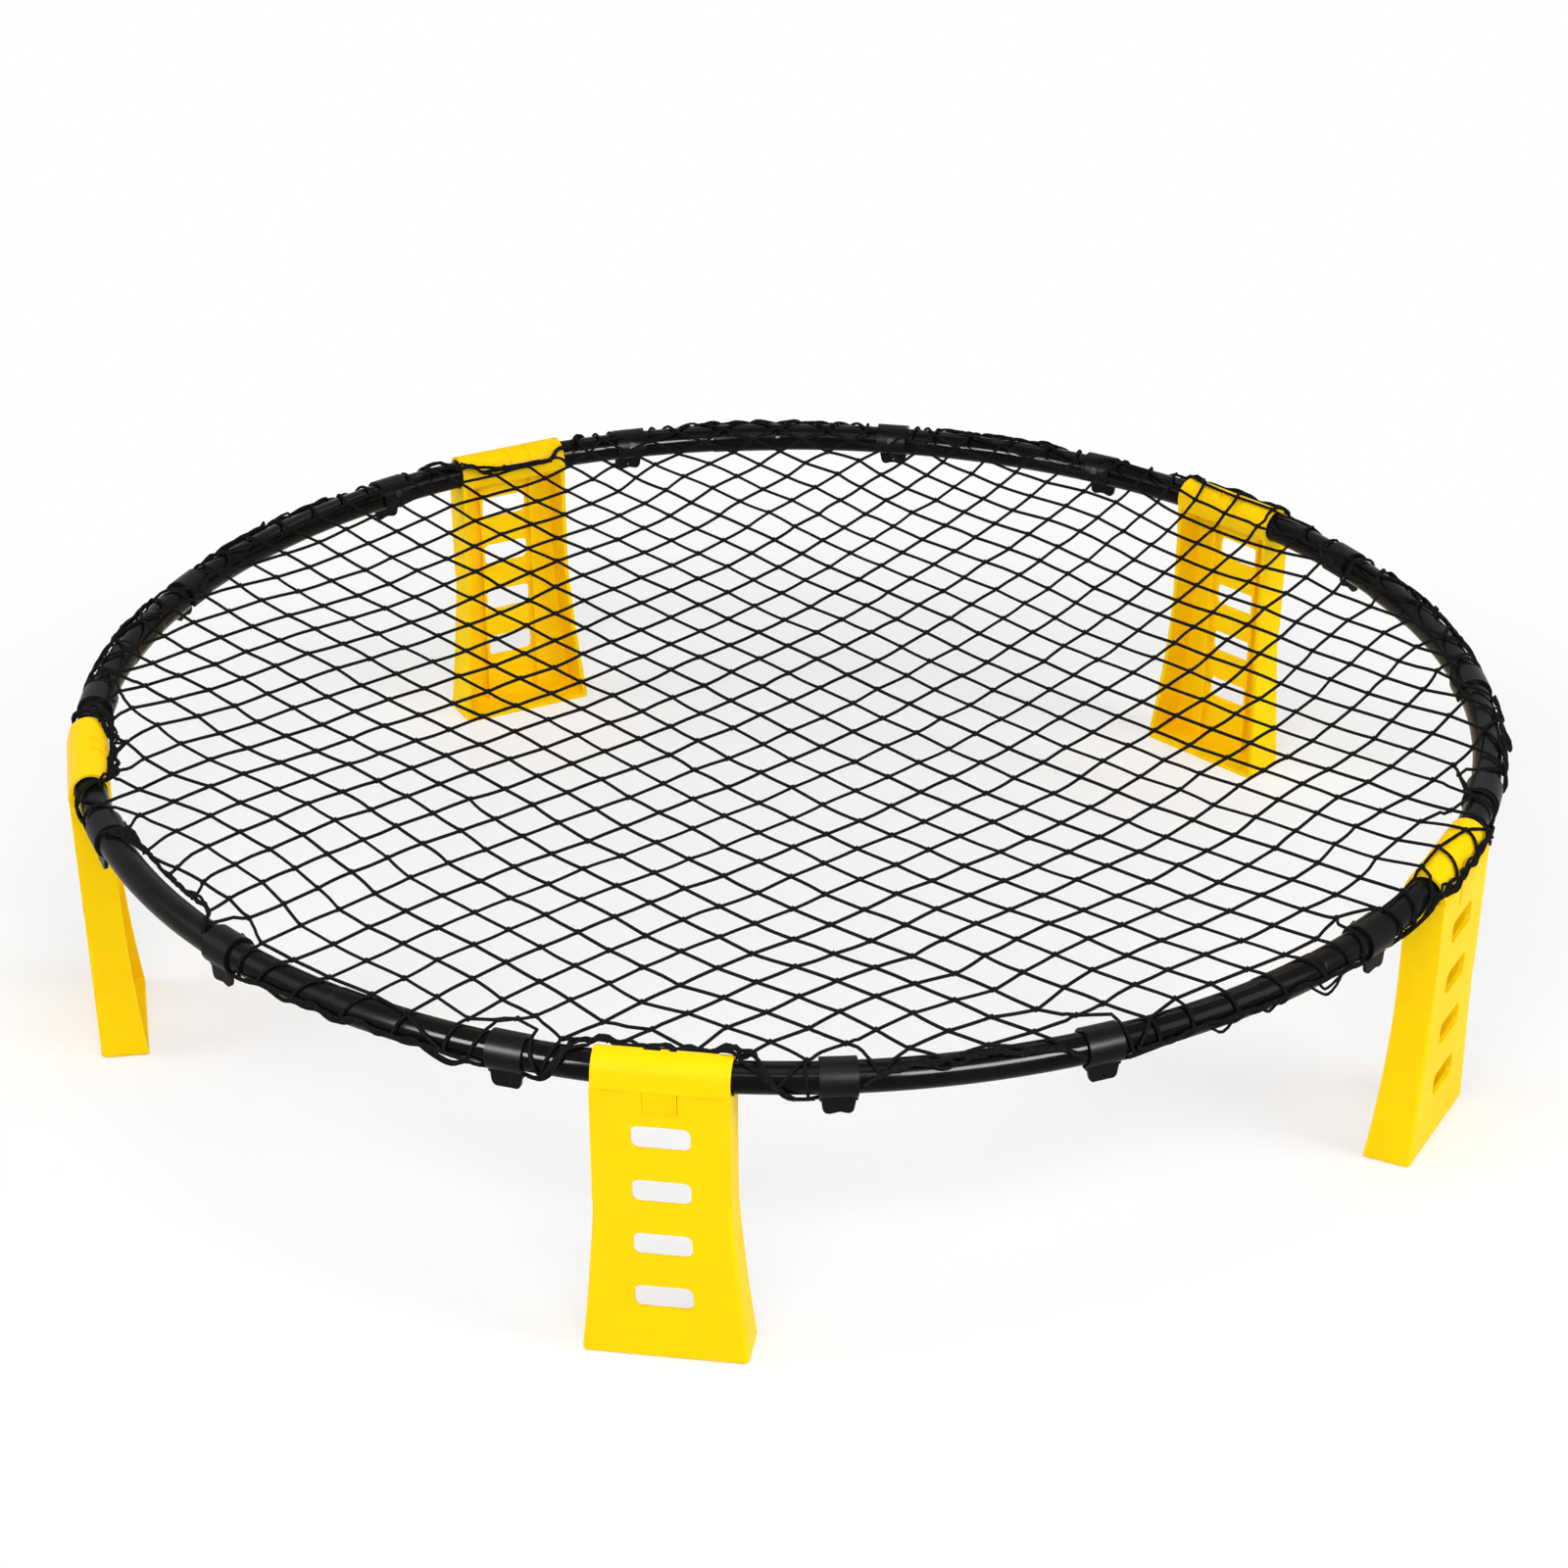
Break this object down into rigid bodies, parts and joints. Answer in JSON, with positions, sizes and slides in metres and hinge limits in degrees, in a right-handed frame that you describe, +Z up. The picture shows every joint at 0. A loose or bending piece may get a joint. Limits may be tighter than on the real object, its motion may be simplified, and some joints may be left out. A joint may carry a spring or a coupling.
{
  "type": "round net set",
  "caption": "Knee-high round game net: a tight diamond net on a sectional tube rim that stands on slotted folding legs.",
  "frame": {"origin": "on the ground, below the centre of the rim", "axes": "+Z up; leg 1 stands on the -Y side and legs 2 to 5 follow counter-clockwise seen from above"},
  "size_m": [0.9359, 0.9407, 0.2061],
  "materials": {
    "rim_tube": "glossy black",
    "leg": "satin moulded yellow",
    "leg_cap": "satin moulded yellow",
    "net_hook": "satin black",
    "hook_rivets": "black",
    "net": "twisted twine",
    "net_edge_cord": "twisted twine"
  },
  "bodies": {
    "rim": {"rim_tube_1": "rim_tube", "rim_tube_2": "rim_tube", "rim_tube_3": "rim_tube", "rim_tube_4": "rim_tube", "rim_tube_5": "rim_tube", "net_hook_1": "net_hook", "net_hook_2": "net_hook", "net_hook_3": "net_hook", "net_hook_4": "net_hook", "net_hook_5": "net_hook", "net_hook_6": "net_hook", "net_hook_7": "net_hook", "net_hook_8": "net_hook", "net_hook_9": "net_hook", "net_hook_10": "net_hook", "net_hook_11": "net_hook", "net_hook_12": "net_hook", "net_hook_13": "net_hook", "net_hook_14": "net_hook", "net_hook_15": "net_hook", "hook_rivets": "hook_rivets", "net": "net", "net_edge_cord": "net_edge_cord"},
    "leg_1": {"leg_1": "leg", "leg_cap_1": "leg_cap"},
    "leg_2": {"leg_2": "leg", "leg_cap_2": "leg_cap"},
    "leg_3": {"leg_3": "leg", "leg_cap_3": "leg_cap"},
    "leg_4": {"leg_4": "leg", "leg_cap_4": "leg_cap"},
    "leg_5": {"leg_5": "leg", "leg_cap_5": "leg_cap"}
  },
  "joints": [
    {"name": "leg_1_fold", "type": "hinge", "parent": "rim", "child": "leg_1", "pos_m": [0, -0.45608, 0.1933], "axis": [1, 0, 0], "range_deg": [0, 75]},
    {"name": "leg_2_fold", "type": "hinge", "parent": "rim", "child": "leg_2", "pos_m": [0.43376, -0.14094, 0.1933], "axis": [0.309, 0.9511, 0], "range_deg": [0, 75]},
    {"name": "leg_3_fold", "type": "hinge", "parent": "rim", "child": "leg_3", "pos_m": [0.26808, 0.36897, 0.1933], "axis": [-0.809, 0.5878, 0], "range_deg": [0, 75]},
    {"name": "leg_4_fold", "type": "hinge", "parent": "rim", "child": "leg_4", "pos_m": [-0.26808, 0.36897, 0.1933], "axis": [-0.809, -0.5878, 0], "range_deg": [0, 75]},
    {"name": "leg_5_fold", "type": "hinge", "parent": "rim", "child": "leg_5", "pos_m": [-0.43376, -0.14094, 0.1933], "axis": [0.309, -0.9511, 0], "range_deg": [0, 75]}
  ]
}
